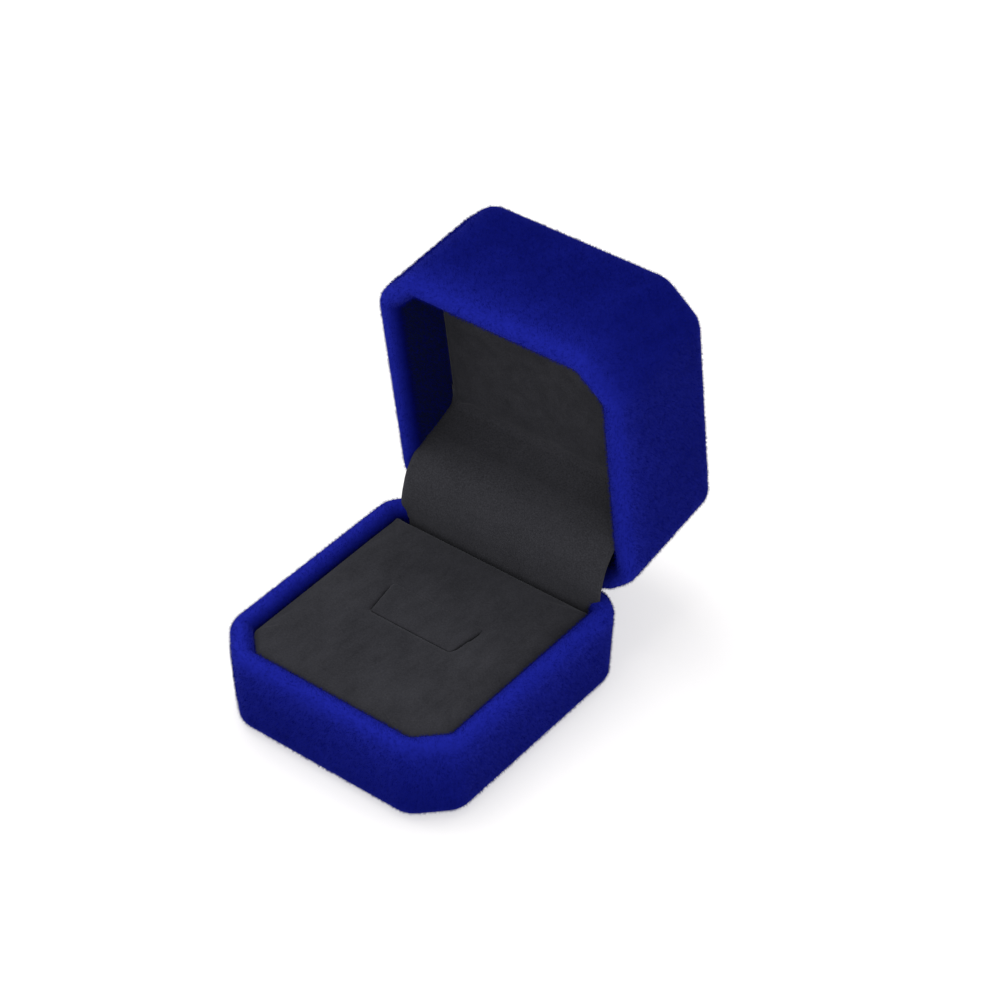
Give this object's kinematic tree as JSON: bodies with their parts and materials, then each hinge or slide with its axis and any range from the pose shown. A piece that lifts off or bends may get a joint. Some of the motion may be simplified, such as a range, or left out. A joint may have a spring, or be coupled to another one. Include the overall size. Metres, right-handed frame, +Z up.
{
  "type": "ring box",
  "caption": "Octagonal hinged ring box wrapped in blue velvet, lying open, with a black velvet ring pad, a pressed-in tongue slit and a lined lid.",
  "frame": {"origin": "centre of the base's underside, on the surface the box stands on", "axes": "+Z up, -Y towards the open front, +Y towards the hinge, +X to the right"},
  "size_m": [0.0564, 0.0871, 0.0782],
  "materials": {
    "blue_velvet": "short cut pile, royal blue",
    "black_velvet": "short cut pile, charcoal black",
    "foam": "soft polyurethane foam",
    "moulded_plastic": "moulded, matt",
    "greyboard": "uncoated board",
    "sole_paper": "black grained paper",
    "hinge_steel": "nickel plated sheet",
    "spring_steel": "tempered strip"
  },
  "bodies": {
    "base": {"base_shell": "moulded_plastic", "base_wadding": "foam", "base_cover": "blue_velvet", "base_sole": "sole_paper", "pad_riser": "greyboard", "pad_board": "greyboard", "pad_foam": "foam", "pad_cover": "black_velvet", "hinge_base_leaf": "hinge_steel", "hinge_base_rivets": "hinge_steel", "hinge_pin": "hinge_steel", "hinge_strip": "black_velvet", "snap_springs": "spring_steel"},
    "lid": {"lid_shell": "moulded_plastic", "lid_wadding": "foam", "lid_cover": "blue_velvet", "lid_riser": "greyboard", "lid_board": "greyboard", "lid_foam": "foam", "lid_lining": "black_velvet", "hinge_lid_leaf": "hinge_steel", "hinge_lid_rivets": "hinge_steel"},
    "tongue": {"tongue_core": "greyboard", "tongue_cover": "black_velvet"}
  },
  "joints": [
    {"name": "lid_hinge", "type": "hinge", "parent": "base", "child": "lid", "pos_m": [0, 0.0269, 0.0178], "axis": [1, 0, 0], "range_deg": [0, 82], "deforming": ["hinge_strip", "snap_springs"]},
    {"name": "tongue_flex", "type": "hinge", "parent": "base", "child": "tongue", "pos_m": [0, 0.0041, 0.0165], "axis": [1, 0, 0], "range_deg": [0, 25], "stiffness_Nm_per_rad": 0.004, "springref_deg": -2.86}
  ]
}
